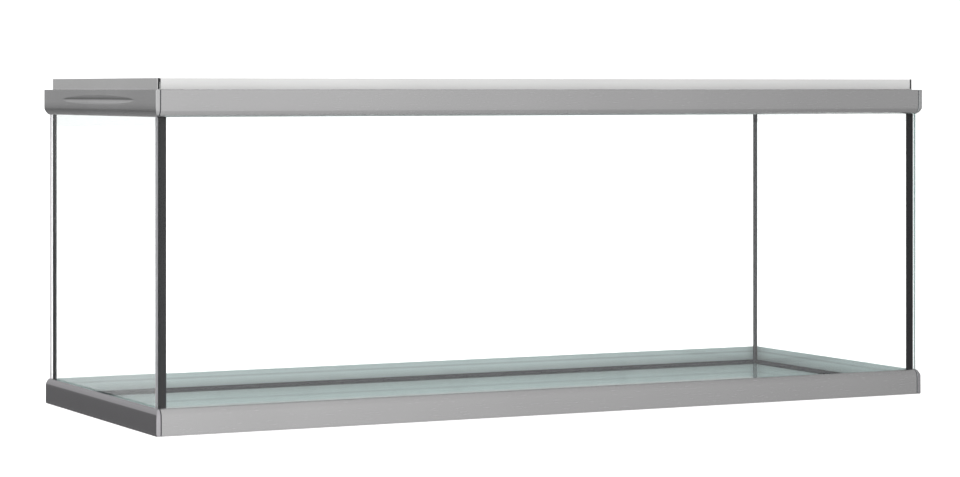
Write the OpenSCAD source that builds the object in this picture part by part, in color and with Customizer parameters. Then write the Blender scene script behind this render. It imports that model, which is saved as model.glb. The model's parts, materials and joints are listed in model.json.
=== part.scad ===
// Framed glass aquarium with a lift-off aluminium hood, two hinged flaps and a light bridge.
// Millimetres, +Z up, the front faces -Y. The origin is the centre of the base frame's underside.

/* [Tank] */
// Width of the glass tank along X
tank_w = 1600; // [1500:10:2000]
// Depth of the glass tank along Y
tank_d = 596; // [500:2:800]
// Height of the glass walls
wall_h = 595; // [300:5:800]
// Thickness of every pane
glass_t = 12; // [8:1:15]
// Thickness of a silicone joint between two panes
joint_t = 1.2; // [0.8:0.1:2]
// How far the side panes sit inside the ends of the front and rear panes
side_inset = 2; // [0:0.5:4]
// Leg of the silicone bead in an inner corner
bead = 5; // [3:0.5:8]
// Width of the glass braces along the front and rear panes
brace_w = 70; // [50:5:90]
// Width of the glass braces that cross the tank
cross_w = 120; // [80:5:150]
// Distance of the crossing braces from the middle
cross_x = 262; // [200:1:300]

/* [Frames] */
// Height of the base frame and of the hood frame
rail_h = 47.8; // [40:0.1:60]
// Height of the rounded part between a rail's face and its rim
curve_h = 10.5; // [8:0.5:12]
// How far the base rails stand out of the front and rear glass
base_out = 9.7; // [8:0.1:14]
// How far the base end caps stand out of the glass
base_end_out = 5.3; // [4:0.1:10]
// How far the hood rails stand out of the front and rear glass
hood_out = 11.8; // [10:0.1:14]
// How far the hood end caps stand out of the glass
hood_end_out = 7.3; // [7:0.1:10]
// Length of an end cap's return onto the front of a frame
cap_return = 7.4; // [6:0.1:12]
// Width of the seam between an end cap and a rail
seam_w = 2.3; // [1:0.1:4]
// Length of the finger scoop in a hood end cap
scoop_len = 400; // [200:10:450]
// Height of the finger scoop
scoop_h = 17; // [12:0.5:20]
// Depth of the finger scoop
scoop_depth = 4; // [2:0.1:4.2]

/* [Hood] */
// Height of the raised deck above the hood frame
deck_h = 20.6; // [20:0.1:30]
// How far the deck sits back from the hood frame's ends
deck_inset_x = 10.3; // [10:0.1:14]
// How far the deck sits back from the hood frame's front and rear
deck_inset_y = 21.5; // [20:0.1:30]
// Half the width of the light bridge
bridge_y = 47.4; // [46:0.1:60]
// How far the front flap lies to the right of the middle of its opening
flap_shift = 0.95; // [0:0.05:1]
// Distance between hinge stations
hinge_pitch = 320; // [250:5:330]

/* [Hidden] */
$fn = 64;
half_w = tank_w / 2;
half_d = tank_d / 2;
eps = 0.01;

// Frames: u runs out of the glass face, v runs from the square edge to the rim
plate_base_t = 2;
bed_t = 1;
plate_hood_t = 2.2;
seal_t = 4.3;
base_gap = 0.5;
hood_gap = 1;
rim_t = 0.3;
skin_t = 1.8;
inner_t = 1.2;
curve_from = 35;
curve_to = 70;
curve_steps = 10;
lean_h = 13.5;
lean_share = 0.07;
lean_steps = 4;
hollow_drop = 1;
hollow_cut = 2.5;
base_inward = 22;
hood_inward = 50;
base_taper = [0.6, 6];
hood_taper = [0.6, 0.6];
lip_t = 1.8;
lip_h = 5.5;
corner_r = 1.2;
gasket_sink = 0.5;
plate_fit = 0.2;
cap_plate_step = 2;
cap_plate_half = half_d - base_inward - 0.5;
scoop_drop = 18.5;
scoop_steps = 20;
scoop_runout = 4;

glass_z = plate_base_t + bed_t;
glass_top = glass_z + wall_h;
hood_top = glass_top + seal_t + plate_hood_t;
deck_top = hood_top + deck_h;

// Side panes and base pane
side_out = half_w - side_inset;
side_in = side_out - glass_t;
pane_in = half_d - glass_t;
side_half = pane_in - joint_t;
base_half_w = side_in - joint_t;
base_half_d = pane_in - joint_t;
base_top = glass_z + glass_t;
arris = 0.8;

// Braces
brace_drop = 1;
brace_joint_t = 1;
brace_end_gap = 6;
brace_bead = 4;
brace_z = glass_top - brace_drop - 2 * glass_t;
brace_half = side_in - brace_end_gap;
cross_end_gap = 2;
cross_z = brace_z + glass_t + brace_joint_t;
cross_half = pane_in - cross_end_gap;
pad_inset = 2;

// Seams, corner keys and their screws
base_cap_x = half_w + base_end_out - cap_return;
hood_cap_x = half_w + hood_end_out - cap_return;
key_len = 50;
key_wall = 2.3;
key_v = 22;
key_play = 0.2;
key_screws = [12, 36];
key_screw_v = 12;
screw_r = 1.25;
screw_head_r = 2.2;
screw_head_l = 1;
screw_len = 5.5;

// Deck, flaps and hinges
deck_x = half_w + hood_end_out - deck_inset_x;
deck_y = half_d + hood_out - deck_inset_y;
side_t = 1.2;
deck_in = deck_x - side_t;
foot_w = 18;
foot_t = 1.2;
foot_gap = 0.6;
foot_end = 2;
rest_leg = 3.1;
rest_shelf = 18;
rest_shelf_h = 6;
rest_gap = 0.05;
rest_play = 0.4;
rest_start = 6;
flap_t = 1.5;
flap_r = 1.5;
flap_end_gap = 1.25;
flap_half = deck_in - rest_leg - flap_end_gap;
flap_lip_gap = 0.4;
hem_w = 7.8;
hem_end_gap = 2.8;
hem_half = deck_in - rest_shelf - hem_end_gap;
ledge_w = 5;
knuckle_r = 3.4;
pin_r = 1.5;
pin_run = 0.08;
axis_off = 4.2;
axis_y = bridge_y + axis_off;
axis_z = deck_top - knuckle_r;
knuckle_l = 20;
side_knuckle_l = 12;
leaf_d = 24;
leaf_t = 1.2;
knuckle_play = 0.4;
notch_play = 0.5;
hinge_half = knuckle_l / 2 + knuckle_play + side_knuckle_l;
flap_over = 1.5;
stations = [-2, -1, 0, 1, 2];

// Finger grips in the flaps
grip_w = 96;
grip_d = 30;
grip_h = 13;
grip_t = 1.5;
grip_rim = 3;
grip_y = deck_y - 26.3;

// Hose outlets in the rear flap
outlet_x = half_w - 160;
outlet_w = 80;
outlet_h = 16;

// Light bridge and lights
bridge_t = 1.6;
bridge_top_t = 2;
bridge_flange_w = 6;
bridge_flange_t = 1;
bridge_half = deck_in - 0.2;
bridge_clear = 0.2;
plug_l = 20;
plug_hole_h = 10;
tube_y = 23;
tube_z = hood_top + 6.5;
tube_r = 8;
tube_half = half_w - 75.5;
ferrule_l = 20;
socket_r = 11;
socket_in = tube_half - 24.5;
socket_out = tube_half + 25.5;
socket_play = 0.1;
socket_cup_l = 22;
socket_neck_r = 9.5;
socket_hole_r = 6;
socket_hole_l = 10;
socket_boot_l = 8;
socket_boot_r = 4.2;
tube_pin_r = 1.2;
tube_pin_l = 8;
tube_pin_y = 2.5;
glass_shrink = 0.2;
reflector_t = 0.8;
reflector_end_gap = 10;
reflector_half = socket_in - reflector_end_gap;
reflector_flat = 9;
reflector_tip = 17;
reflector_drop = 9.3;
clip_w = 12;
clip_t = 1.2;
clip_pitch = 340;
clip_places = [-1.5, -0.5, 0.5, 1.5];
clip_stem = 8;
clip_mouth = 5;
cap_ledge_in = 43;
lead_r = 2.2;
lead_y = 3;
lead_run = 2;
box_in = half_w - cap_ledge_in;
box_out = bridge_half - plug_l - bridge_clear;
box_y = 30;
box_t = 1.5;
box_z = hood_top + 0.5;
box_h = 17;
gland_inset = 9;
gland_x = box_in + gland_inset;
gland_r = 5;
gland_bore = 3.25;
gland_flats = 12;
gland_nut_l = 4;
gland_tail_r = 5.6;
gland_l = 11;

// Strips between the frames and the glass
glazing_w = 19;
glazing_end_w = 15;
glazing_in = 1;
glazing_half = half_d - base_inward - 1;
strip_end = 5;
strip_w = 10;
strip_in = 1;

// Hood frame fastenings
bracket_t = 2;
bracket_inset = [15, 13];
bracket_widths = [23, 30];
bracket_leg = 85;
rivet_r = 1.6;
rivet_head_r = 3.2;
rivet_head_top_r = 2;
rivet_head_t = 1;
rivet_tail_r = 2.4;
bracket_rail_rivets = [[half_w - 55, half_d - 28], [half_w - 85, half_d - 28]];
bracket_cap_rivets = [[half_w - 26.5, half_d - 63], [half_w - 26.5, half_d - 86]];
foot_rivets = [[half_w - 18.5, 80], [half_w - 18.5, 130], [half_w - 18.5, 180]];
plug_screws = [half_w - 20, 30];
plug_screw_r = 1.6;
plug_screw_head_r = [2.2, 3];
plug_screw_head_t = 2;

// ---------- helpers ----------

// A section drawn as [y, z], run along X about the middle
module along_x(length) {
    rotate([90, 0, 90]) linear_extrude(length, center = true) children();
}

// A section drawn as [x, z], run along Y about the middle
module along_y(length) {
    rotate([90, 0, 0]) linear_extrude(length, center = true) children();
}

module front_of() {
    mirror([0, 1, 0]) children();
}

module left_of() {
    mirror([1, 0, 0]) children();
}

module at_both_ends() {
    for (side = [0, 1]) mirror([side, 0, 0]) children();
}

module at_both_faces() {
    for (side = [0, 1]) mirror([0, side, 0]) children();
}

module at_corners() {
    at_both_ends() at_both_faces() children();
}

// A box from its low corner to its high corner
module block(low, high) {
    translate(low) cube(high - low);
}

// A box about the middle, given by its half sizes in X and Y and its two heights
module slab(half_x, half_y, z_low, z_high) {
    block([-half_x, -half_y, z_low], [half_x, half_y, z_high]);
}

module rod_x(radius, x_low, x_high, y, z) {
    translate([x_low, y, z]) rotate([0, 90, 0]) cylinder(r = radius, h = x_high - x_low);
}

module rod_y(radius, y_low, y_high, x, z) {
    translate([x, y_high, z]) rotate([90, 0, 0]) cylinder(r = radius, h = y_high - y_low);
}

// A rectangle with its four corners cut at 45 degrees
module arrissed(low, high) {
    polygon([
        [low[0] + arris, low[1]], [high[0] - arris, low[1]],
        [high[0], low[1] + arris], [high[0], high[1] - arris],
        [high[0] - arris, high[1]], [low[0] + arris, high[1]],
        [low[0], high[1] - arris], [low[0], low[1] + arris]
    ]);
}

// A pane with ground edges: two crossed sections keep only what both of them hold
module pane(low, high) {
    intersection() {
        translate([0, 0, low[2]]) linear_extrude(high[2] - low[2])
            arrissed([low[0], low[1]], [high[0], high[1]]);
        translate([(low[0] + high[0]) / 2, 0, 0]) along_x(high[0] - low[0])
            arrissed([low[1], low[2]], [high[1], high[2]]);
        translate([0, (low[1] + high[1]) / 2, 0]) along_y(high[1] - low[1])
            arrissed([low[0], low[2]], [high[0], high[2]]);
    }
}

// The face of a hollow bead with legs of this length: an arc from one leg's end to the other's
function cove(leg, steps = 6) = let (
    centre = 1.3 * leg,
    radius = norm([centre - leg, centre]),
    from = atan2(-centre, leg - centre),
    to = atan2(leg - centre, -centre)
) [for (i = [0:steps]) let (a = from + (to - from) * i / steps)
    [centre + radius * cos(a), centre + radius * sin(a)]];

// ---------- glass ----------

module long_pane() {
    pane([-half_w, pane_in, glass_z], [half_w, half_d, glass_top]);
}

module end_pane() {
    pane([side_in, -side_half, glass_z], [side_out, side_half, glass_top]);
}

module rear_glass() {
    color([0.75, 0.9, 0.88, 0.35]) long_pane();
}

module front_glass() {
    color([0.75, 0.9, 0.88, 0.35]) front_of() long_pane();
}

module right_glass() {
    color([0.75, 0.9, 0.88, 0.35]) end_pane();
}

module left_glass() {
    color([0.75, 0.9, 0.88, 0.35]) left_of() end_pane();
}

module base_glass() {
    color([0.6, 0.8, 0.78, 0.5])
        pane([-base_half_w, -base_half_d, glass_z], [base_half_w, base_half_d, base_top]);
}

// ---------- silicone ----------

// The bead all round the base pane: the joint below and a cove above it
module base_bead() {
    difference() {
        slab(side_in, pane_in, glass_z, base_top);
        slab(base_half_w, base_half_d, glass_z - 1, base_top + 1);
    }
    at_both_faces() translate([0, pane_in, base_top]) along_x(2 * side_in)
        mirror([1, 0]) bead_section(bead);
    at_both_ends() translate([side_in, 0, base_top]) along_y(2 * pane_in)
        mirror([1, 0]) bead_section(bead);
}

module bead_section(leg) {
    polygon(concat([[0, 0]], cove(leg)));
}

// The upright joint of the rear right corner
module upright_bead() {
    block([side_in, side_half, glass_z], [side_out, pane_in, glass_top]);
    difference() {
        translate([side_in, pane_in, base_top]) linear_extrude(wall_h - glass_t)
            mirror([1, 0]) mirror([0, 1]) bead_section(bead);
        base_bead();
    }
}

module silicone() {
    color([0.12, 0.12, 0.13]) children();
}

module rear_right_silicone() {
    silicone() upright_bead();
}

module rear_left_silicone() {
    silicone() left_of() upright_bead();
}

module front_right_silicone() {
    silicone() front_of() upright_bead();
}

module front_left_silicone() {
    silicone() front_of() left_of() upright_bead();
}

module base_silicone() {
    silicone() base_bead();
}

// ---------- braces ----------

module long_brace() {
    pane([-brace_half, side_half - brace_w, brace_z], [brace_half, side_half, brace_z + glass_t]);
}

module long_brace_bead() {
    block([-brace_half, side_half, brace_z], [brace_half, pane_in, brace_z + glass_t]);
    translate([0, pane_in, brace_z]) along_x(2 * brace_half)
        mirror([1, 0]) mirror([0, 1]) bead_section(brace_bead);
}

module cross_brace() {
    pane(
        [cross_x - cross_w / 2, -cross_half, cross_z],
        [cross_x + cross_w / 2, cross_half, cross_z + glass_t]
    );
}

module rear_brace() {
    color([0.75, 0.9, 0.88, 0.35]) long_brace();
}

module front_brace() {
    color([0.75, 0.9, 0.88, 0.35]) front_of() long_brace();
}

module right_cross_brace() {
    color([0.75, 0.9, 0.88, 0.35]) cross_brace();
}

module left_cross_brace() {
    color([0.75, 0.9, 0.88, 0.35]) left_of() cross_brace();
}

// Beads along the outer edges of the long braces, and flat joints where the crossing braces lie on them
module brace_silicone() {
    pad_w = cross_w / 2 - pad_inset;
    silicone() {
        at_both_faces() long_brace_bead();
        at_corners() block(
            [cross_x - pad_w, side_half - brace_w + pad_inset, brace_z + glass_t],
            [cross_x + pad_w, cross_half - pad_inset, cross_z]
        );
    }
}

// ---------- frames ----------

// The arc from the crease above a rail's face in to its rim, stretched to this reach and rise
function rim_curve(reach, rise) = let (
    width = cos(curve_from) - cos(curve_to),
    height = sin(curve_to) - sin(curve_from)
) [for (i = [0:curve_steps]) let (a = curve_from + (curve_to - curve_from) * i / curve_steps)
    [reach * (cos(a) - cos(curve_to)) / width, rise * (sin(a) - sin(curve_from)) / height]];

// The top of a rail's face, which leans back by this much at the crease
function face_lean(lean) =
    [for (i = [0:lean_steps - 1]) let (s = i / lean_steps) [-lean * pow(s, 2), lean_h * s]];

function rim_reach(out, gap) = out - gap - rim_t;

// A rail's outline as [u, v], with its plate running inward under or over the glass
function rail_outline(out, gap, inward, plate_t, taper, low = 0, high = rail_h) = let (
    lean = lean_share * rim_reach(out, gap),
    crease_v = high - curve_h
) concat(
    [[-inward, low], [out - taper[0], low], [out, low + taper[1]]],
    [for (p = face_lean(lean)) [out + p[0], crease_v - lean_h + p[1]]],
    [for (p = rim_curve(rim_reach(out, gap) - lean, curve_h)) [gap + rim_t + p[0], crease_v + p[1]]],
    [[gap, high], [gap, plate_t], [-inward, plate_t]]
);

// The hollow inside a rail, at least one thin wall inside its outline
function rail_hollow(out, gap, plate_t) = let (
    low_u = gap + inner_t,
    high_u = out - skin_t,
    curve_v = rail_h - curve_h - hollow_drop
) concat(
    [[low_u, plate_t], [high_u, plate_t]],
    [for (p = rim_curve(high_u - low_u, curve_h - hollow_cut)) [low_u + p[0], curve_v + p[1]]]
);

// A corner key's section as its low and high [u, v] corners
function key_low(gap, plate_t) = [gap + inner_t + key_play, plate_t];
function key_high(out) = [out - skin_t - key_play, key_v];

// A countersunk screw along u, or the hole it fills
module key_screw(x, gap) {
    translate([x, half_d + gap, key_screw_v]) rotate([-90, 0, 0]) {
        cylinder(r1 = screw_head_r, r2 = screw_r, h = screw_head_l);
        cylinder(r = screw_r, h = screw_len);
    }
}

module key_screw_set(cap_x, gap) {
    for (back = key_screws) key_screw(cap_x - seam_w - back, gap);
}

// The rear rail with its square edge down
module frame_rail(cap_x, out, gap, inward, plate_t, taper) {
    difference() {
        translate([0, half_d, 0]) along_x(2 * (cap_x - seam_w)) difference() {
            polygon(rail_outline(out, gap, inward, plate_t, taper));
            polygon(rail_hollow(out, gap, plate_t));
        }
        at_both_ends() key_screw_set(cap_x, gap);
    }
}

// The right end cap's outer body with its square edge down
module frame_cap(cap_x, end_out, out, gap, plate_t, taper) {
    x_out = half_w + end_out;
    y_out = half_d + out;
    side = rail_outline(end_out, gap, half_w - cap_x, plate_t, taper);
    face = [for (p = rail_outline(out, gap, 0, plate_t, taper)) if (p[0] > gap + eps) p];
    low = key_low(gap, plate_t);
    high = key_high(out);
    difference() {
        intersection() {
            along_y(2 * y_out + 2) translate([half_w, 0]) polygon(concat(
                [for (i = [0:len(side) - 4]) side[i]],
                [[cap_x - half_w, rail_h]]
            ));
            translate([cap_x + cap_return / 2, 0, 0]) along_x(3 * cap_return) polygon(concat(
                [for (p = face) [half_d + p[0], p[1]]],
                [for (i = [len(face) - 1:-1:0]) [-half_d - face[i][0], face[i][1]]]
            ));
        }
        slab(half_w + gap, half_d + gap, plate_t, rail_h + 1);
        at_both_faces() {
            block([cap_x - 1, half_d + low[0], low[1]], [x_out - key_wall, half_d + high[0], high[1]]);
            translate([x_out - corner_r, y_out - corner_r, -1]) difference() {
                cube([2 * corner_r, 2 * corner_r, rail_h + 2]);
                cylinder(r = corner_r, h = rail_h + 2);
            }
        }
    }
}

module frame_key(cap_x, end_out, out, gap, plate_t) {
    low = key_low(gap, plate_t);
    high = key_high(out);
    difference() {
        block(
            [cap_x - seam_w - key_len, half_d + low[0], low[1]],
            [half_w + end_out - key_wall, half_d + high[0], high[1]]
        );
        key_screw_set(cap_x, gap);
    }
}

// The dark strip between the rear rail and the right cap, sunk below both
module frame_gasket(cap_x, out, gap, inward, plate_t, taper) {
    low = key_low(gap, plate_t);
    high = key_high(out);
    difference() {
        translate([cap_x - seam_w / 2, half_d, 0]) along_x(seam_w) polygon(rail_outline(
            out - gasket_sink, gap, inward, plate_t, taper, low = 0.3, high = rail_h - gasket_sink
        ));
        block(
            [cap_x - 2 * seam_w, half_d + low[0], low[1]],
            [cap_x + seam_w, half_d + high[0], high[1]]
        );
    }
}

// ---------- base frame ----------

module base_rail() {
    frame_rail(base_cap_x, base_out, base_gap, base_inward, plate_base_t, base_taper);
}

module base_cap() {
    frame_cap(base_cap_x, base_end_out, base_out, base_gap, plate_base_t, base_taper);
    block(
        [half_w - base_inward + cap_plate_step, -cap_plate_half, 0],
        [base_cap_x + eps, cap_plate_half, plate_base_t]
    );
}

module base_rear_rail() {
    color([0.66, 0.66, 0.67]) base_rail();
}

module base_front_rail() {
    color([0.66, 0.66, 0.67]) front_of() base_rail();
}

module base_right_cap() {
    color([0.5, 0.5, 0.51]) base_cap();
}

module base_left_cap() {
    color([0.5, 0.5, 0.51]) left_of() base_cap();
}

module base_corner_keys() {
    color([0.35, 0.35, 0.36]) at_corners()
        frame_key(base_cap_x, base_end_out, base_out, base_gap, plate_base_t);
}

module base_key_screws() {
    color([0.7, 0.7, 0.72]) at_corners() key_screw_set(base_cap_x, base_gap);
}

module base_seam_gaskets() {
    color([0.2, 0.2, 0.21]) at_corners()
        frame_gasket(base_cap_x, base_out, base_gap, base_inward, plate_base_t, base_taper);
}

// Soft strips between the frame's plate and the glass that stands on it
module base_glazing_strips() {
    color([0.15, 0.15, 0.16]) {
        at_both_faces() block(
            [-half_w + strip_end, half_d - glazing_w - glazing_in, plate_base_t],
            [half_w - strip_end, half_d - glazing_in, glass_z]
        );
        at_both_ends() block(
            [side_out - glazing_end_w - glazing_in, -glazing_half, plate_base_t],
            [side_out - glazing_in, glazing_half, glass_z]
        );
    }
}

// ---------- hood frame ----------

// The hood frame is a base frame turned over, with its square edge up
module as_hood() {
    translate([0, 0, hood_top]) mirror([0, 0, 1]) children();
}

module through_holes(places, radius, depth) {
    for (p = places) translate([p[0], p[1], -1]) cylinder(r = radius, h = depth + 2);
}

module hood_rail() {
    difference() {
        as_hood() {
            frame_rail(hood_cap_x, hood_out, hood_gap, hood_inward, plate_hood_t, hood_taper);
            block(
                [-(half_w - cap_ledge_in), half_d - hood_inward, 0],
                [half_w - cap_ledge_in, half_d - hood_inward + lip_t, lip_h]
            );
        }
        at_both_ends() translate([0, 0, hood_top - plate_hood_t])
            through_holes(bracket_rail_rivets, rivet_r, plate_hood_t);
    }
}

// The concave finger scoop: a slim spindle whose axis runs along Y outside the cap
module scoop() {
    standoff = (pow(scoop_h / 2, 2) - pow(scoop_depth, 2)) / (2 * scoop_depth);
    arc_r = (pow(scoop_len / 2, 2) + pow(scoop_depth, 2)) / (2 * scoop_depth);
    half_run = scoop_len / 2 + scoop_runout;
    translate([half_w + hood_end_out + standoff, 0, 0]) rotate([90, 0, 0]) rotate_extrude()
        polygon(concat(
            [[0, -half_run]],
            [for (i = [-scoop_steps:scoop_steps]) let (y = half_run * i / scoop_steps)
                [standoff + scoop_depth - arc_r + sqrt(pow(arc_r, 2) - pow(y, 2)), y]],
            [[0, half_run]]
        ));
}

module hood_cap() {
    ledge_y = half_d - hood_inward - plate_fit;
    difference() {
        as_hood() {
            frame_cap(hood_cap_x, hood_end_out, hood_out, hood_gap, plate_hood_t, hood_taper);
            block([half_w - cap_ledge_in, -ledge_y, 0], [hood_cap_x + eps, ledge_y, plate_hood_t]);
            block(
                [half_w - cap_ledge_in, -ledge_y, 0],
                [half_w - cap_ledge_in + lip_t, ledge_y, lip_h]
            );
        }
        translate([0, 0, hood_top - scoop_drop]) scoop();
        translate([0, 0, hood_top - plate_hood_t]) at_both_faces() {
            through_holes(bracket_cap_rivets, rivet_r, plate_hood_t);
            through_holes(foot_rivets, rivet_r, plate_hood_t);
            through_holes([plug_screws], plug_screw_r, plate_hood_t);
        }
    }
}

module hood_rear_rail() {
    color([0.7, 0.7, 0.71]) hood_rail();
}

module hood_front_rail() {
    color([0.7, 0.7, 0.71]) front_of() hood_rail();
}

module hood_right_cap() {
    color([0.58, 0.58, 0.58]) hood_cap();
}

module hood_left_cap() {
    color([0.58, 0.58, 0.58]) left_of() hood_cap();
}

module hood_corner_keys() {
    color([0.35, 0.35, 0.36]) as_hood() at_corners()
        frame_key(hood_cap_x, hood_end_out, hood_out, hood_gap, plate_hood_t);
}

module hood_key_screws() {
    color([0.7, 0.7, 0.72]) as_hood() at_corners() key_screw_set(hood_cap_x, hood_gap);
}

module hood_seam_gaskets() {
    color([0.2, 0.2, 0.21]) as_hood() at_corners()
        frame_gasket(hood_cap_x, hood_out, hood_gap, hood_inward, plate_hood_t, hood_taper);
}

// Foam strips under the hood that rest on the top edges of the four walls
module hood_seal_strips() {
    color([0.15, 0.15, 0.16]) {
        at_both_faces() block(
            [-half_w + strip_end, half_d - strip_in - strip_w, glass_top],
            [half_w - strip_end, half_d - strip_in, glass_top + seal_t]
        );
        at_both_ends() block(
            [side_out - strip_in - strip_w, -(half_d - strip_in - strip_w), glass_top],
            [side_out - strip_in, half_d - strip_in - strip_w, glass_top + seal_t]
        );
    }
}

// An angle plate under each corner that ties the rail's plate to the cap's
module corner_bracket() {
    bracket_z = hood_top - plate_hood_t - bracket_t;
    corner_x = half_w - bracket_inset[0];
    corner_y = half_d - bracket_inset[1];
    inner_x = corner_x - bracket_widths[0];
    inner_y = corner_y - bracket_widths[1];
    difference() {
        translate([0, 0, bracket_z]) linear_extrude(bracket_t) polygon([
            [corner_x - bracket_leg, corner_y], [corner_x, corner_y], [corner_x, corner_y - bracket_leg],
            [inner_x, corner_y - bracket_leg], [inner_x, inner_y], [corner_x - bracket_leg, inner_y]
        ]);
        translate([0, 0, bracket_z]) {
            through_holes(bracket_rail_rivets, rivet_r, bracket_t);
            through_holes(bracket_cap_rivets, rivet_r, bracket_t);
        }
    }
}

module hood_corner_brackets() {
    color([0.6, 0.6, 0.62]) at_corners() corner_bracket();
}

// A blind rivet whose head sits at this height and whose shank spans the grip
module rivet(place, head_z, grip) {
    translate([place[0], place[1], head_z - grip - rivet_head_t]) {
        cylinder(r = rivet_tail_r, h = rivet_head_t);
        cylinder(r = rivet_r, h = grip + rivet_head_t + rivet_head_t / 2);
        translate([0, 0, grip + rivet_head_t])
            cylinder(r1 = rivet_head_r, r2 = rivet_head_top_r, h = rivet_head_t);
    }
}

module hood_rivets() {
    color([0.75, 0.75, 0.77]) at_corners() {
        for (p = concat(bracket_rail_rivets, bracket_cap_rivets))
            rivet(p, hood_top, plate_hood_t + bracket_t);
        for (p = foot_rivets) rivet(p, hood_top + foot_t, plate_hood_t + foot_t);
    }
}

// ---------- deck ----------

// The right side of the deck: an upright sheet with a foot on each side of the light bridge
module deck_side() {
    difference() {
        union() {
            block([deck_in, -deck_y, hood_top], [deck_x, deck_y, deck_top]);
            at_both_faces() block(
                [deck_in - foot_w, bridge_y + foot_gap, hood_top],
                [deck_in + eps, deck_y - foot_end, hood_top + foot_t]
            );
        }
        translate([0, 0, hood_top]) at_both_faces() through_holes(foot_rivets, rivet_r, foot_t);
    }
}

module deck_right_side() {
    color([0.68, 0.68, 0.68]) deck_side();
}

module deck_left_side() {
    color([0.68, 0.68, 0.68]) left_of() deck_side();
}

// Black profiles inside the deck's sides: a leg that closes the gap and a shelf that the flap lies on
module rest_profile() {
    shelf_top = deck_top - flap_t - rest_gap;
    block([deck_in - rest_leg, bridge_y + rest_play, hood_top + foot_t], [deck_in, deck_y, deck_top]);
    block(
        [deck_in - rest_shelf, axis_y + rest_start, shelf_top - rest_shelf_h],
        [deck_in - rest_leg + eps, deck_y - flap_t - rest_play, shelf_top]
    );
}

module flap_rest_profiles() {
    color([0.1, 0.1, 0.11]) at_corners() rest_profile();
}

// ---------- light bridge ----------

module bridge_knuckle() {
    difference() {
        union() {
            rod_x(knuckle_r, -knuckle_l / 2, knuckle_l / 2, axis_y, axis_z);
            block(
                [-knuckle_l / 2, bridge_y - bridge_t / 2, axis_z - knuckle_r],
                [knuckle_l / 2, axis_y, axis_z]
            );
        }
        rod_x(pin_r + pin_run, -knuckle_l, knuckle_l, axis_y, axis_z);
    }
}

// The rear side of the bridge: an upright with a flange under the cover and five fixed knuckles
module bridge_side() {
    top = deck_top - bridge_top_t;
    inner_y = bridge_y - bridge_t;
    block([-bridge_half, inner_y, hood_top], [bridge_half, bridge_y, top]);
    block([-box_out, inner_y - bridge_flange_w, top - bridge_flange_t], [box_out, inner_y + eps, top]);
    for (i = stations) translate([i * hinge_pitch, 0, 0]) bridge_knuckle();
}

module bridge_rear_side() {
    color([0.72, 0.72, 0.72]) difference() {
        bridge_side();
        rod_y(gland_r, bridge_y - 2 * bridge_t, bridge_y + 1, gland_x, tube_z);
    }
}

module bridge_front_side() {
    color([0.72, 0.72, 0.72]) front_of() bridge_side();
}

module bridge_cover() {
    color([0.72, 0.72, 0.72]) slab(bridge_half, bridge_y, deck_top - bridge_top_t, deck_top);
}

module end_plug() {
    difference() {
        block(
            [bridge_half - plug_l, -(bridge_y - bridge_t), hood_top],
            [bridge_half, bridge_y - bridge_t, deck_top - bridge_top_t]
        );
        at_both_faces() translate([plug_screws[0], plug_screws[1], hood_top - 1])
            cylinder(r = plug_screw_r, h = plug_hole_h + 1);
    }
}

module bridge_end_plugs() {
    color([0.1, 0.1, 0.11]) at_both_ends() end_plug();
}

module bridge_screws() {
    color([0.75, 0.75, 0.77]) at_corners()
        translate([plug_screws[0], plug_screws[1], hood_top - plate_hood_t - plug_screw_head_t]) {
            cylinder(r1 = plug_screw_head_r[0], r2 = plug_screw_head_r[1], h = plug_screw_head_t);
            cylinder(r = plug_screw_r, h = plate_hood_t + plug_screw_head_t + plug_hole_h);
        }
}

// ---------- lights ----------

// The folded sheet over a tube, whose flat top lies under the bridge
module reflector() {
    top = deck_top - bridge_top_t;
    low = top - reflector_t;
    tip = low - reflector_drop;
    translate([0, tube_y, 0]) along_x(2 * reflector_half) polygon([
        [-reflector_tip, tip], [-reflector_flat, low], [reflector_flat, low], [reflector_tip, tip],
        [reflector_tip, tip + reflector_t], [reflector_flat, top], [-reflector_flat, top],
        [-reflector_tip, tip + reflector_t]
    ]);
}

module light_tube() {
    translate([0, tube_y, tube_z]) {
        rod_x(tube_r - glass_shrink, -tube_half, tube_half, 0, 0);
        at_both_ends() {
            rod_x(tube_r, tube_half - ferrule_l, tube_half, 0, 0);
            for (side = [-1, 1])
                rod_x(tube_pin_r, tube_half - 1, tube_half + tube_pin_l, tube_pin_y * side, 0);
        }
    }
}

module socket() {
    difference() {
        union() {
            rod_x(socket_r, socket_in, socket_in + socket_cup_l, tube_y, tube_z);
            rod_x(socket_neck_r, socket_in + socket_cup_l - 1, socket_out - socket_boot_l, tube_y, tube_z);
            rod_x(socket_boot_r, socket_out - socket_boot_l - 1, socket_out, tube_y, tube_z);
        }
        rod_x(tube_r + socket_play, socket_in - 1, tube_half, tube_y, tube_z);
        rod_x(socket_hole_r, tube_half - 1, tube_half + socket_hole_l, tube_y, tube_z);
    }
}

module tube_clip(x) {
    clip_top = deck_top - bridge_top_t - reflector_t;
    translate([x, tube_y, 0]) difference() {
        union() {
            rod_x(tube_r + socket_play + clip_t, -clip_w / 2, clip_w / 2, 0, tube_z);
            block([-clip_w / 2, -clip_stem / 2, tube_z + tube_r], [clip_w / 2, clip_stem / 2, clip_top]);
        }
        rod_x(tube_r + socket_play, -clip_w, clip_w, 0, tube_z);
        block([-clip_w, -2 * tube_r, tube_z - 2 * tube_r], [clip_w, 2 * tube_r, tube_z - clip_mouth]);
    }
}

module rear_reflector() {
    color([0.9, 0.9, 0.92]) reflector();
}

module front_reflector() {
    color([0.9, 0.9, 0.92]) front_of() reflector();
}

module rear_light_tube() {
    color([0.95, 0.95, 0.93]) light_tube();
}

module front_light_tube() {
    color([0.95, 0.95, 0.93]) front_of() light_tube();
}

module tube_sockets() {
    color([0.15, 0.15, 0.16]) at_corners() socket();
}

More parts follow.
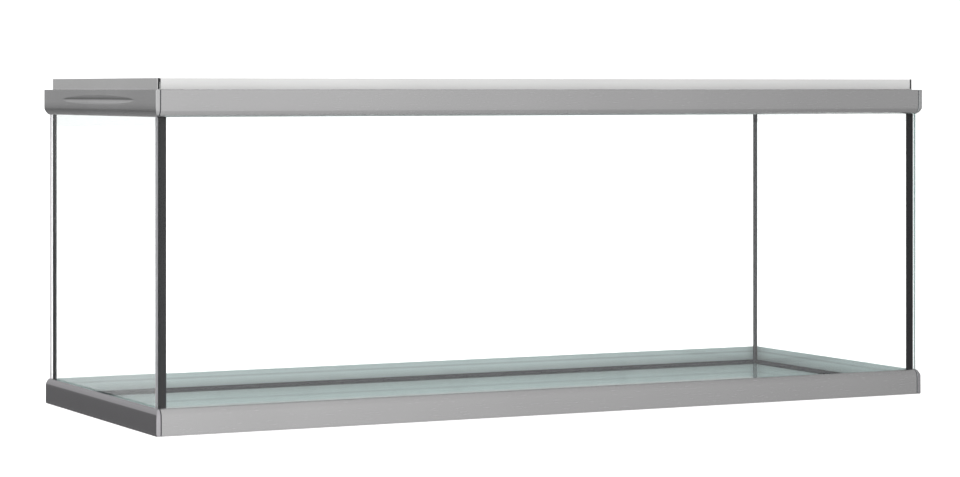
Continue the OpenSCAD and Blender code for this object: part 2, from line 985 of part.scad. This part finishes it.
module tube_clips() {
    color([0.85, 0.85, 0.87]) at_both_faces() for (i = clip_places) tube_clip(i * clip_pitch);
}

// Leads from the four sockets to the terminal box: the left pair turns back between the tubes
module lamp_leads() {
    turn_r = (tube_y - lead_y) / 2;
    turn_x = socket_out + lead_run;
    color([0.85, 0.85, 0.83]) at_both_faces() {
        rod_x(lead_r, socket_out, box_in, tube_y, tube_z);
        rod_x(lead_r, -turn_x, -socket_out, tube_y, tube_z);
        translate([-turn_x, lead_y + turn_r, tube_z]) rotate([0, 0, 90]) rotate_extrude(angle = 180)
            translate([turn_r, 0]) circle(r = lead_r);
        rod_x(lead_r, -turn_x, box_in, lead_y, tube_z);
    }
}

module terminal_box() {
    color([0.12, 0.12, 0.13]) difference() {
        block([box_in, -box_y, box_z], [box_out, bridge_y - bridge_t, box_z + box_h]);
        block(
            [box_in + box_t, -box_y + box_t, box_z + box_t],
            [box_out - box_t, bridge_y - bridge_t - box_t, box_z + box_h - box_t]
        );
        rod_y(gland_r, bridge_y - bridge_t - 2 * box_t, bridge_y, gland_x, tube_z);
    }
}

module cable_gland() {
    color([0.1, 0.1, 0.11]) difference() {
        union() {
            rod_y(gland_r, bridge_y - bridge_t - box_t, bridge_y + 1, gland_x, tube_z);
            translate([gland_x, bridge_y + gland_nut_l, tube_z]) rotate([90, 0, 0])
                cylinder(d = gland_flats / cos(30), h = gland_nut_l, $fn = 6);
            rod_y(gland_tail_r, bridge_y + gland_nut_l - 1, bridge_y + gland_l, gland_x, tube_z);
        }
        rod_y(gland_bore, bridge_y - gland_l, bridge_y + gland_l + 1, gland_x, tube_z);
    }
}

// ---------- flaps ----------

// The rear flap's flat sheet, notched round its hinges and cut out for the grip
module flap_sheet(shift) {
    notch = hinge_half + notch_play;
    difference() {
        block(
            [shift - flap_half, axis_y - flap_over, deck_top - flap_t],
            [shift + flap_half, deck_y - flap_t, deck_top]
        );
        for (i = stations) translate([i * hinge_pitch, 0, 0]) block(
            [-notch, axis_y - 2 * flap_over, deck_top - 2 * flap_t],
            [notch, axis_y + knuckle_r + notch_play, deck_top + 1]
        );
        block(
            [-grip_w / 2, grip_y - grip_d / 2, deck_top - 2 * flap_t],
            [grip_w / 2, grip_y + grip_d / 2, deck_top + 1]
        );
    }
}

// The profile along the rear flap's edge: a band with a rounded top, a ledge under the sheet and a hem
module flap_lip(shift) {
    arc_steps = 6;
    lip_low = hood_top + flap_lip_gap;
    inner_y = deck_y - flap_t;
    translate([shift, 0, 0]) along_x(2 * flap_half) polygon(concat(
        [[inner_y, lip_low], [deck_y, lip_low]],
        [for (i = [0:arc_steps]) let (a = 90 * i / arc_steps)
            [deck_y - flap_r + flap_r * cos(a), deck_top - flap_r + flap_r * sin(a)]]
    ));
    block([-hem_half, inner_y - hem_w, lip_low], [hem_half, inner_y + eps, lip_low + flap_t]);
    block(
        [-hem_half, inner_y - ledge_w, deck_top - 2 * flap_t],
        [hem_half, inner_y + eps, deck_top - flap_t]
    );
}

// The moving leaf of one hinge: two knuckles on a plate that lies under the flap's sheet
module hinge_leaf() {
    inner = knuckle_l / 2 + knuckle_play;
    leaf_top = deck_top - flap_t;
    plate_y = axis_y + knuckle_r + notch_play;
    difference() {
        union() {
            at_both_ends() {
                rod_x(knuckle_r, inner, hinge_half, axis_y, axis_z);
                block([inner, axis_y, leaf_top - leaf_t], [hinge_half, plate_y + eps, leaf_top]);
            }
            block([-hinge_half, plate_y, leaf_top - leaf_t], [hinge_half, axis_y + leaf_d, leaf_top]);
        }
        rod_x(pin_r, -2 * hinge_half, 2 * hinge_half, axis_y, axis_z);
    }
}

module hinge_leaves() {
    for (i = stations) translate([i * hinge_pitch, 0, 0]) hinge_leaf();
}

module hinge_pins() {
    for (i = stations) translate([i * hinge_pitch, 0, 0])
        rod_x(pin_r, -hinge_half, hinge_half, axis_y, axis_z);
}

// A cup let into the flap, held by a rim under the sheet
module grip_cup() {
    sheet_low = deck_top - flap_t;
    translate([0, grip_y, 0]) difference() {
        union() {
            slab(grip_w / 2, grip_d / 2, deck_top - grip_h, deck_top);
            slab(grip_w / 2 + grip_rim, grip_d / 2 + grip_rim, sheet_low - grip_t, sheet_low);
        }
        slab(grip_w / 2 - grip_t, grip_d / 2 - grip_t, deck_top - grip_h + grip_t, deck_top + 1);
    }
}

module rear_flap() {
    color([0.85, 0.85, 0.84]) flap_sheet(0);
}

module front_flap() {
    color([0.85, 0.85, 0.84]) front_of() flap_sheet(flap_shift);
}

module rear_flap_lip() {
    color([0.82, 0.82, 0.81]) difference() {
        flap_lip(0);
        at_both_ends() block(
            [outlet_x - outlet_w / 2, deck_y - 2 * hem_w, hood_top],
            [outlet_x + outlet_w / 2, deck_y + 1, hood_top + outlet_h]
        );
    }
}

module front_flap_lip() {
    color([0.82, 0.82, 0.81]) front_of() flap_lip(flap_shift);
}

module rear_hinge_leaves() {
    color([0.7, 0.7, 0.72]) hinge_leaves();
}

module front_hinge_leaves() {
    color([0.7, 0.7, 0.72]) front_of() hinge_leaves();
}

module rear_hinge_pins() {
    color([0.75, 0.75, 0.77]) hinge_pins();
}

module front_hinge_pins() {
    color([0.75, 0.75, 0.77]) front_of() hinge_pins();
}

module rear_flap_grip() {
    color([0.1, 0.1, 0.11]) grip_cup();
}

module front_flap_grip() {
    color([0.1, 0.1, 0.11]) front_of() grip_cup();
}

// ---------- assembly ----------

front_glass();
rear_glass();
left_glass();
right_glass();
base_glass();
front_left_silicone();
front_right_silicone();
rear_left_silicone();
rear_right_silicone();
base_silicone();
front_brace();
rear_brace();
left_cross_brace();
right_cross_brace();
brace_silicone();
base_front_rail();
base_rear_rail();
base_left_cap();
base_right_cap();
base_corner_keys();
base_key_screws();
base_seam_gaskets();
base_glazing_strips();
hood_front_rail();
hood_rear_rail();
hood_left_cap();
hood_right_cap();
hood_corner_keys();
hood_key_screws();
hood_seam_gaskets();
hood_seal_strips();
hood_corner_brackets();
hood_rivets();
deck_left_side();
deck_right_side();
flap_rest_profiles();
bridge_cover();
bridge_front_side();
bridge_rear_side();
bridge_end_plugs();
bridge_screws();
front_reflector();
rear_reflector();
front_light_tube();
rear_light_tube();
tube_sockets();
tube_clips();
lamp_leads();
terminal_box();
cable_gland();
front_flap();
front_flap_lip();
front_hinge_leaves();
front_hinge_pins();
front_flap_grip();
rear_flap();
rear_flap_lip();
rear_hinge_leaves();
rear_hinge_pins();
rear_flap_grip();
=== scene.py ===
"""Looks for the framed glass aquarium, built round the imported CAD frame.

Metres, +Z up, and the front faces -Y. Each piece that stands for a CAD node is a copy of its shape.
"""
import json
import math

import bmesh
import bpy
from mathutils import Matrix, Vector


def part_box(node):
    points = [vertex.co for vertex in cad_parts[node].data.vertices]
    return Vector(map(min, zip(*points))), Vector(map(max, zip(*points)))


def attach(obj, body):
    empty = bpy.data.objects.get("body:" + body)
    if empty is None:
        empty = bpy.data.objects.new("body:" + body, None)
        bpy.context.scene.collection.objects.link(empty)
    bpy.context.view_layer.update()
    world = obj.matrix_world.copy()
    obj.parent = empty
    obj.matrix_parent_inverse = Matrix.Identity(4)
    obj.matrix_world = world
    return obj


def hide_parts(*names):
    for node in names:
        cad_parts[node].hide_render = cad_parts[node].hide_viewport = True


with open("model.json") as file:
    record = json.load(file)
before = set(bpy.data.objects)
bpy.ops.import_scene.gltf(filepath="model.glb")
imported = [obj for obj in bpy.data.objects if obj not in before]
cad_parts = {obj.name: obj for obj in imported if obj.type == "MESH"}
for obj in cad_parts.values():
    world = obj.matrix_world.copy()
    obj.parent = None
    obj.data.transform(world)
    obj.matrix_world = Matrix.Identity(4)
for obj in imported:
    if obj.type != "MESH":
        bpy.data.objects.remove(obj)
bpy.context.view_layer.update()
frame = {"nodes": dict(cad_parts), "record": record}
nodes = frame["nodes"]
record = frame["record"]
SLOT = {part["node"]: part["material_slot"] for part in record["subparts"]}
BODY = {
    node: body
    for body, members in record["behaviour"]["bodies"].items()
    for node in members
}

MM = 0.001
MICRON = 0.001 * MM
X, Y, Z = 0, 1, 2


# ---------- node helpers ----------
def new_material(name):
    """An empty material, with its node tree and its output node."""
    material = bpy.data.materials.new(name)
    material.use_nodes = True
    tree = material.node_tree
    tree.nodes.clear()
    output = tree.nodes.new("ShaderNodeOutputMaterial")
    return material, tree, output


def feed(tree, value, socket):
    """Links a socket to another node's output, or sets it to a plain value."""
    if isinstance(value, bpy.types.NodeSocket):
        tree.links.new(value, socket)
    else:
        socket.default_value = value


def shader(tree, kind, **inputs):
    """The output of a new shader node. An input's name has _ where the node has a space."""
    node = tree.nodes.new(kind)
    for name, value in inputs.items():
        feed(tree, value, node.inputs[name.replace("_", " ")])
    return node.outputs[0]


def mix_shaders(tree, share, first, second):
    """Two shaders mixed; share is how much of the second counts."""
    node = tree.nodes.new("ShaderNodeMixShader")
    for socket, value in zip(node.inputs, (share, first, second)):
        feed(tree, value, socket)
    return node.outputs["Shader"]


def ray(tree, question):
    """An answer about the ray being traced, such as its kind or how often it has bounced."""
    return tree.nodes.new("ShaderNodeLightPath").outputs[question]


def position(tree, kind="Object"):
    """The X, Y and Z of a point in the object's metres, or of a direction in the world."""
    coords = tree.nodes.new("ShaderNodeTexCoord")
    split = tree.nodes.new("ShaderNodeSeparateXYZ")
    feed(tree, coords.outputs[kind], split.inputs["Vector"])
    return split.outputs


def noise(tree, stretch, scale, detail=3.0):
    """Noise in the object's own metres, stretched by a factor on each axis."""
    coords = tree.nodes.new("ShaderNodeTexCoord")
    mapping = tree.nodes.new("ShaderNodeMapping")
    feed(tree, coords.outputs["Object"], mapping.inputs["Vector"])
    feed(tree, stretch, mapping.inputs["Scale"])
    texture = tree.nodes.new("ShaderNodeTexNoise")
    feed(tree, mapping.outputs["Vector"], texture.inputs["Vector"])
    feed(tree, scale, texture.inputs["Scale"])
    feed(tree, detail, texture.inputs["Detail"])
    feed(tree, 0.55, texture.inputs["Roughness"])
    return texture.outputs["Fac"]


def between(tree, value, start, end, low, high):
    """Goes from low to high as the value goes from start to end, and stays there beyond."""
    node = tree.nodes.new("ShaderNodeMapRange")
    settings = {"Value": value, "From Min": start, "From Max": end, "To Min": low, "To Max": high}
    for name, setting in settings.items():
        feed(tree, setting, node.inputs[name])
    return node.outputs["Result"]


NOISE_LOW, NOISE_HIGH = 0.3, 0.7


def spread(tree, value, low, high):
    """Maps the range that most of a noise lies in onto low to high."""
    return between(tree, value, NOISE_LOW, NOISE_HIGH, low, high)


def blend(tree, way, share, first, second):
    """Two colours blended in this way; share is how much of the second counts."""
    node = tree.nodes.new("ShaderNodeMix")
    node.data_type = "RGBA"
    node.blend_type = way
    for name, value in (("Factor", share), ("A", first), ("B", second)):
        feed(tree, value, node.inputs[name])
    return node.outputs["Result"]


def two_tone(tree, share, first, second):
    return blend(tree, "MIX", share, (*first, 1), (*second, 1))


def grey_ramp(tree, value, stops):
    """A ramp over values from -1 to 1. Each stop is a value and the grey there."""
    ramp = tree.nodes.new("ShaderNodeValToRGB")
    elements = ramp.color_ramp.elements
    for element, (place, grey) in zip(elements, (stops[0], stops[-1])):
        element.position = (place + 1) / 2
        element.color = (grey, grey, grey, 1)
    for place, grey in stops[1:-1]:
        elements.new((place + 1) / 2).color = (grey, grey, grey, 1)
    feed(tree, between(tree, value, -1, 1, 0, 1), ramp.inputs["Fac"])
    return ramp.outputs["Color"]


def bump(tree, height, depth):
    node = tree.nodes.new("ShaderNodeBump")
    feed(tree, depth, node.inputs["Distance"])
    feed(tree, 1.0, node.inputs["Strength"])
    feed(tree, height, node.inputs["Height"])
    return node.outputs["Normal"]


def times(colour, factor):
    return tuple(min(1.0, part * factor) for part in colour)


# ---------- kinds of material ----------
ALONG_X = (0.02, 1, 1)
ALONG_Y = (1, 0.02, 1)
EVEN = (1, 1, 1)
DRIFT_SCALE = 4.0
GLASS_IOR = 1.52
MATT_SCALE = 1500


def surface(
    name, colour, rough, scale, relief, metallic=0, grain=EVEN, tone=0.06, swing=0.05, specular=0.5
):
    """An opaque finish: a fine grain in relief and roughness, and a slow drift of colour.

    The grain has this scale, and a relief in microns. Tone and swing are how far the colour and the
    roughness go either way.
    """
    material, tree, output = new_material(name)
    fine = noise(tree, grain, scale)
    drift = spread(tree, noise(tree, EVEN, DRIFT_SCALE, detail=2.0), 0.0, 1.0)
    body = shader(
        tree, "ShaderNodeBsdfPrincipled",
        Metallic=metallic,
        Specular_IOR_Level=specular,
        Base_Color=two_tone(tree, drift, times(colour, 1 - tone), times(colour, 1 + tone)),
        Roughness=spread(tree, fine, rough - swing, rough + swing),
        Normal=bump(tree, fine, relief * MICRON),
    )
    feed(tree, body, output.inputs["Surface"])
    return material


def let_light_through(tree, glassy, tint, output):
    """Shadow rays pass the glass as if it were a tinted film, so light reaches what is behind it."""
    film = shader(tree, "ShaderNodeBsdfTransparent", Color=(*tint, 1))
    feed(tree, mix_shaders(tree, ray(tree, "Is Shadow Ray"), glassy, film), output.inputs["Surface"])


def glass(name, tint, absorb, density, rear_shade=1.0):
    """Clear float glass, whose depth soaks up red.

    With rear_shade below 1, the tint is darkened toward the back as painted shade, falling to that share
    of itself from the base pane's front to its back.
    """
    material, tree, output = new_material(name)
    colour = (*tint, 1)
    # painted shade: the pane's colour darkens from its front toward its back
    if rear_shade < 1:
        front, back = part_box("base_glass")
        depth = between(tree, position(tree)["Y"], front.y, back.y, 0, 1)
        colour = two_tone(tree, depth, tint, times(tint, rear_shade))
    clear = shader(
        tree, "ShaderNodeBsdfPrincipled",
        Roughness=0.0, IOR=GLASS_IOR, Transmission_Weight=1.0, Base_Color=colour,
    )
    let_light_through(tree, clear, tint, output)
    volume = shader(tree, "ShaderNodeVolumeAbsorption", Color=(*absorb, 1), Density=density)
    feed(tree, volume, output.inputs["Volume"])
    return material


def ground_glass(name, tint, rough, swing=0.08, veil_share=0.35, matt_share=0.5):
    """A ground glass edge, which scatters the light that crosses it and has a pale veil."""
    material, tree, output = new_material(name)
    fine = noise(tree, EVEN, MATT_SCALE)
    clear = shader(
        tree, "ShaderNodeBsdfPrincipled",
        IOR=GLASS_IOR, Transmission_Weight=1.0, Base_Color=(*tint, 1),
        Roughness=spread(tree, fine, rough - swing, rough + swing),
        Normal=bump(tree, fine, 20 * MICRON),
    )
    milky = shader(tree, "ShaderNodeBsdfTranslucent", Color=(*tint, 1))
    veil = shader(tree, "ShaderNodeBsdfDiffuse", Color=(0.75, 0.78, 0.82, 1))
    matt = mix_shaders(tree, veil_share, milky, veil)
    let_light_through(tree, mix_shaders(tree, matt_share, clear, matt), tint, output)
    return material


# Painted shade on the frames' inner side: a darker band at the base frame's crease, and darker toward the
# base pane; LIT is the unshaded share.
CREASE_DROP = 10.5 * MM
CREASE_HALF = 3 * MM
LIT, CREASE_SHADE, FOOT_SHADE = 1.0, 0.75, 0.6


def painted_shade_side(name, colour, rough):
    """The frames' inner side, a pale finish with painted shade: in the base frame it is darker along the
    crease and toward the base pane.
    """
    material, tree, output = new_material(name)
    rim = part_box("base_rear_rail")[1].z
    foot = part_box("base_glass")[1].z
    crease = rim - CREASE_DROP
    shades = [
        (foot, FOOT_SHADE),
        (crease - CREASE_HALF, LIT),
        (crease, CREASE_SHADE),
        (crease + CREASE_HALF, LIT),
        (rim, LIT),
    ]
    stops = [(2 * (height - foot) / (rim - foot) - 1, grey) for height, grey in shades]
    level = between(tree, position(tree)["Z"], foot, rim, -1, 1)
    body = shader(
        tree, "ShaderNodeBsdfPrincipled",
        Roughness=rough,
        Base_Color=blend(tree, "MULTIPLY", 1.0, (*colour, 1), grey_ramp(tree, level, stops)),
        Normal=bump(tree, noise(tree, ALONG_X, MATT_SCALE), 4 * MICRON),
    )
    feed(tree, body, output.inputs["Surface"])
    return material


# ---------- materials, one for each slot ----------
def metal(colour, rough, scale, relief, **rest):
    return dict(colour=colour, rough=rough, scale=scale, relief=relief, metallic=1, **rest)


def plain(colour, rough, scale, relief, **rest):
    return dict(colour=colour, rough=rough, scale=scale, relief=relief, **rest)


RAIL = metal((0.50, 0.498, 0.50), 0.26, 1600, 0.6, grain=ALONG_X, tone=0.02, swing=0.015)
OPAQUE = {
    "black_silicone": plain((0.060, 0.058, 0.066), 0.65, 700, 40, specular=0.12),
    "base_aluminium": RAIL,
    "hood_aluminium": RAIL,
    "base_cap_plastic": metal((0.46, 0.45, 0.47), 0.20, 1400, 4),
    "hood_cap_plastic": metal((0.54, 0.54, 0.545), 0.24, 1400, 4),
    "deck_side_aluminium": metal((0.82, 0.82, 0.82), 0.34, 1600, 2, grain=ALONG_Y, tone=0.02),
    "flap_aluminium": plain((0.76, 0.76, 0.755), 0.45, 1600, 2, metallic=0.7, grain=ALONG_X, tone=0.02),
    "seam_rubber": plain((0.05, 0.05, 0.055), 0.6, 900, 30),
    "glazing_foam": plain((0.03, 0.03, 0.032), 0.85, 600, 120),
    "key_plastic": plain((0.05, 0.05, 0.053), 0.5, 900, 30),
    "screw_steel": metal((0.62, 0.61, 0.60), 0.25, 2500, 6),
    "bracket_aluminium": metal((0.66, 0.66, 0.67), 0.36, 1500, 10),
    "rivet_aluminium": metal((0.74, 0.74, 0.75), 0.28, 2500, 6),
    "black_plastic": plain((0.02, 0.02, 0.022), 0.45, 1200, 30),
    "reflector_aluminium": metal((0.90, 0.90, 0.91), 0.10, 1200, 4, grain=ALONG_X),
    "lamp_tube": plain((0.88, 0.88, 0.86), 0.18, 300, 4),
    "socket_plastic": plain((0.03, 0.03, 0.032), 0.5, 1200, 30),
    "clip_plastic": plain((0.78, 0.78, 0.77), 0.28, 900, 10),
    "lead_pvc": plain((0.60, 0.60, 0.58), 0.4, 900, 20),
}
LOOKS = {
    "wall_glass": glass("wall_glass", (0.995, 1.0, 0.998), (0.45, 0.86, 0.82), 2.0),
    # the base pane has painted shade, darkening toward its back
    "base_glass": glass("base_glass", (0.97, 1.0, 0.995), (0.35, 0.82, 0.80), 10.0, rear_shade=0.64),
}
for slot, finish in OPAQUE.items():
    LOOKS[slot] = surface(slot, **finish)

# more finishes, for single faces
EDGE_GLASS = ground_glass("ground_edge", (1.0, 0.93, 0.95), 0.6)
# the frames' pale inner side, with painted shade along the crease and toward the base pane
INNER_SIDE_PAINTED_SHADE = painted_shade_side("inner_side_painted_shade", (0.90, 1.0, 1.0), 0.5)
FERRULE = surface("ferrule_metal", **metal((0.80, 0.79, 0.77), 0.22, 2000, 6))
PIN_BRASS = surface("pin_brass", **metal((0.78, 0.62, 0.34), 0.25, 2500, 4))


def dress_nodes():
    """Gives each CAD node the finish of its slot."""
    for node, slot in SLOT.items():
        mesh = nodes[node].data
        mesh.materials.clear()
        mesh.materials.append(LOOKS[slot])


# ---------- finished copies of CAD nodes ----------
WELD = 0.002 * MM
FLAT = math.radians(0.3)
CORNER = math.radians(40)
SHARP = math.radians(30)
CREASED = math.radians(20)
SHORTEST_IN_WIDTHS = 6


def hardness(edge):
    """The angle between an edge's two faces, or 0 where it doesn't have two."""
    return edge.calc_face_angle(0) if len(edge.link_faces) == 2 else 0


def round_off(shape, width):
    """Bevels the sharp edges of a shape, apart from very short ones."""
    shortest = SHORTEST_IN_WIDTHS * width
    corners = [e for e in shape.edges if hardness(e) > CORNER and e.calc_length() > shortest]
    bmesh.ops.bevel(
        shape, geom=corners, offset=width, offset_type="OFFSET", segments=2, profile=0.5,
        affect="EDGES", clamp_overlap=False,
    )
    bmesh.ops.remove_doubles(shape, verts=shape.verts, dist=WELD)


def finished(name, width=0.0, sharp=SHARP):
    """A copy of a CAD node, welded, its corners rounded off and evenly shaded. It stands for the node."""
    shape = bmesh.new()
    shape.from_mesh(nodes[name].data)
    bmesh.ops.remove_doubles(shape, verts=shape.verts, dist=WELD)
    bmesh.ops.dissolve_limit(shape, angle_limit=FLAT, verts=shape.verts, edges=shape.edges)
    if width:
        round_off(shape, width)
    for face in shape.faces:
        face.smooth = True
    for edge in shape.edges:
        edge.smooth = hardness(edge) < sharp
    mesh = bpy.data.meshes.new(name + "_finished")
    shape.to_mesh(mesh)
    shape.free()
    for extra in ("custom_normal", "sharp_face"):
        if extra in mesh.attributes:
            mesh.attributes.remove(mesh.attributes[extra])
    piece = bpy.data.objects.new(name + "_finished", mesh)
    bpy.context.scene.collection.objects.link(piece)
    mesh.materials.append(LOOKS[SLOT[name]])
    even = piece.modifiers.new("even shading", "WEIGHTED_NORMAL")
    even.keep_sharp = True
    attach(piece, BODY[name])
    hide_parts(name)
    return piece


def give(piece, material, wanted):
    """Gives this finish to the faces that wanted(centre, normal) picks."""
    mesh = piece.data
    mesh.materials.append(material)
    place = len(mesh.materials) - 1
    for face in mesh.polygons:
        if wanted(face.center, face.normal):
            face.material_index = place


NEARLY_SQUARE = 0.9
MOSTLY_INWARD = 0.8


def facing(axis):
    """Picks the faces that look along this axis."""
    return lambda centre, normal: abs(normal[axis]) > NEARLY_SQUARE


def not_facing(axis):
    """Picks the faces that don't look along this axis."""
    return lambda centre, normal: abs(normal[axis]) < NEARLY_SQUARE


def beyond(reach):
    """Picks the faces that lie further out than this along X."""
    return lambda centre, normal: abs(centre.x) > reach


def facing_inward(centre, normal):
    """Picks the faces that look at the upright line through the object's middle."""
    along = Y if abs(normal.y) > abs(normal.x) else X
    return -math.copysign(1, centre[along]) * normal[along] > MOSTLY_INWARD


def make_panes():
    """The panes: their bare edges are ground, and the bonded ones show the silicone behind them."""
    silicone = LOOKS["black_silicone"]
    for name in ("front_glass", "rear_glass"):
        give(finished(name), EDGE_GLASS, not_facing(Y))
    for name in ("front_brace", "rear_brace", "left_cross_brace", "right_cross_brace"):
        give(finished(name), EDGE_GLASS, not_facing(Z))
    for name in ("left_glass", "right_glass"):
        pane = finished(name)
        give(pane, EDGE_GLASS, facing(Z))
        give(pane, silicone, facing(Y))
    give(finished("base_glass"), silicone, not_facing(Z))


PIN_LENGTH = 8.2 * MM
FERRULE_LENGTH = 20 * MM


def make_tubes():
    """The lamps, with a metal ferrule and brass pins at each end."""
    for name in ("front_light_tube", "rear_light_tube"):
        piece = finished(name)
        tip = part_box(name)[1].x
        give(piece, FERRULE, beyond(tip - PIN_LENGTH - FERRULE_LENGTH))
        give(piece, PIN_BRASS, beyond(tip - PIN_LENGTH))


# how wide each node's corners are rounded off, in mm
ROUNDING = {
    "base_front_rail": 0.25, "base_rear_rail": 0.25, "hood_front_rail": 0.25, "hood_rear_rail": 0.25,
    "base_left_cap": 0.0, "base_right_cap": 0.0, "hood_left_cap": 0.0, "hood_right_cap": 0.0,
    "deck_left_side": 0.25, "deck_right_side": 0.25, "front_flap": 0.3, "rear_flap": 0.3,
    "front_flap_lip": 0.25, "rear_flap_lip": 0.25, "bridge_cover": 0.4, "bridge_end_plugs": 0.5,
    "terminal_box": 0.5, "front_flap_grip": 0.5, "rear_flap_grip": 0.5, "hood_corner_brackets": 0.25,
}


def make_framework():
    """The frames, deck, bridge and flaps. The frames keep their creases, and their inner side gets a pale
    finish with painted shade.
    """
    for name, width in ROUNDING.items():
        framed = name.endswith(("_rail", "_cap"))
        piece = finished(name, width * MM, sharp=CREASED if framed else SHARP)
        if framed:
            # the inner side gets the finish with painted shade
            give(piece, INNER_SIDE_PAINTED_SHADE, facing_inward)


# ---------- stage ----------
# How bright the backdrop is to the eye up to the horizon. Above it, it is 1.
LOW_WHITE = 1.35
# What reflections see. In front: by how far right they point, times a share by how steeply they point.
FRONT = [(-1, 1.2), (0.3, 1.1), (0.45, 0.87), (0.56, 0.5), (1, 0.35)]
STEEP = [(-1, 0.75), (-0.35, 0.92), (-0.1, 1.0), (0.15, 1.0), (1, 0.9)]
# Behind: by how steeply they point. Between the two: by how far back they point.
BEHIND = [(-1, 0.5), (-0.35, 0.35), (-0.18, 0.2), (-0.06, 0.18), (0, 0.5), (0.25, 0.6), (0.45, 0.35)]
FRONT_END, BEHIND_START = 0.35, 0.75
HORIZON, ABOVE_HORIZON = 0.02, 0.06


def white_dome(tree, up):
    """White all round for the eye. Diffuse rays see it evenly bright."""
    sky = between(tree, up, HORIZON, ABOVE_HORIZON, LOW_WHITE, 1.0)
    strength = between(tree, ray(tree, "Is Diffuse Ray"), 0, 1, sky, 1.0)
    return shader(tree, "ShaderNodeBackground", Color=(1, 1, 1, 1), Strength=strength)


def reflected_room(tree, direction):
    """A soft light in front, with a dimmer room and a dark floor behind."""
    ahead = grey_ramp(tree, direction["X"], FRONT)
    ahead = blend(tree, "MULTIPLY", 1.0, ahead, grey_ramp(tree, direction["Z"], STEEP))
    behind = grey_ramp(tree, direction["Z"], BEHIND)
    backward = between(tree, direction["Y"], FRONT_END, BEHIND_START, 0, 1)
    colour = blend(tree, "MIX", backward, ahead, behind)
    return shader(tree, "ShaderNodeBackground", Color=colour, Strength=1.0)


def make_world():
    """A white dome, in place of which a ray that has bounced off a glossy surface sees a room."""
    world = bpy.data.worlds.new("studio")
    bpy.context.scene.world = world
    world.use_nodes = True
    tree = world.node_tree
    tree.nodes.clear()
    output = tree.nodes.new("ShaderNodeOutputWorld")
    direction = position(tree, "Generated")
    bounced = between(tree, ray(tree, "Glossy Depth"), 0, 1, 0, 1)
    seen = mix_shaders(tree, bounced, white_dome(tree, direction["Z"]), reflected_room(tree, direction))
    feed(tree, seen, output.inputs["Surface"])


FLOOR_HALF = 40.0
FLOOR_DROP = 0.5 * MM
GLOW_NEAR, GLOW_FAR = 0.8, 1.4
NEAR_GLOW, FAR_GLOW = 0.3, 0.6


def floor_white():
    """A matt white that glows more away from the object, so that no edge shows."""
    material, tree, output = new_material("floor_white")
    where = tree.nodes.new("ShaderNodeNewGeometry")
    away = tree.nodes.new("ShaderNodeVectorMath")
    away.operation = "LENGTH"
    feed(tree, where.outputs["Position"], away.inputs[0])
    strength = between(tree, away.outputs["Value"], GLOW_NEAR, GLOW_FAR, NEAR_GLOW, FAR_GLOW)
    lit = tree.nodes.new("ShaderNodeAddShader")
    feed(tree, shader(tree, "ShaderNodeBsdfDiffuse", Color=(0.9, 0.9, 0.9, 1)), lit.inputs[0])
    feed(tree, shader(tree, "ShaderNodeEmission", Strength=strength), lit.inputs[1])
    feed(tree, lit.outputs["Shader"], output.inputs["Surface"])
    return material


def make_floor():
    """A plain floor that meets the white behind it. Reflections don't see it."""
    corners = [(x * FLOOR_HALF, y * FLOOR_HALF, 0) for x, y in ((-1, -1), (1, -1), (1, 1), (-1, 1))]
    mesh = bpy.data.meshes.new("floor")
    mesh.from_pydata(corners, [], [(0, 1, 2, 3)])
    mesh.materials.append(floor_white())
    floor = bpy.data.objects.new("floor", mesh)
    floor.location.z = -FLOOR_DROP
    floor.visible_glossy = False
    bpy.context.scene.collection.objects.link(floor)


def area_light(name, place, aim, width, height, watts):
    """A soft light that no camera, mirror or glass shows."""
    data = bpy.data.lights.new(name, "AREA")
    data.shape = "RECTANGLE"
    data.size = width
    data.size_y = height
    data.energy = watts
    lamp = bpy.data.objects.new(name, data)
    lamp.location = place
    lamp.rotation_euler = (Vector(aim) - Vector(place)).to_track_quat("-Z", "Y").to_euler()
    lamp.visible_glossy = False
    lamp.visible_camera = False
    lamp.visible_transmission = False
    bpy.context.scene.collection.objects.link(lamp)


def make_lights():
    area_light("key", place=(-2.2, -4.0, 2.6), aim=(0, 0, 0.3), width=3.0, height=2.0, watts=60)
    area_light("top", place=(0, 0, 4.0), aim=(0, 0, 0), width=4.0, height=4.0, watts=80)


def make_camera():
    """A level camera, so that upright edges stay upright; the shift lowers its view onto the object."""
    data = bpy.data.cameras.new("camera")
    data.lens = 109.08
    data.sensor_width = 36.0
    data.shift_y = -0.156
    data.clip_end = 200.0
    camera = bpy.data.objects.new("camera", data)
    camera.location = (-2.5696, -5.0887, 0.6063)
    camera.rotation_euler = (math.radians(90), 0, math.radians(-26.6))
    bpy.context.scene.collection.objects.link(camera)
    bpy.context.scene.camera = camera


def set_colours():
    view = bpy.context.scene.view_settings
    view.view_transform = "Standard"
    view.look = "None"


make_camera()
make_world()
make_floor()
make_lights()
set_colours()
dress_nodes()
make_panes()
make_tubes()
make_framework()
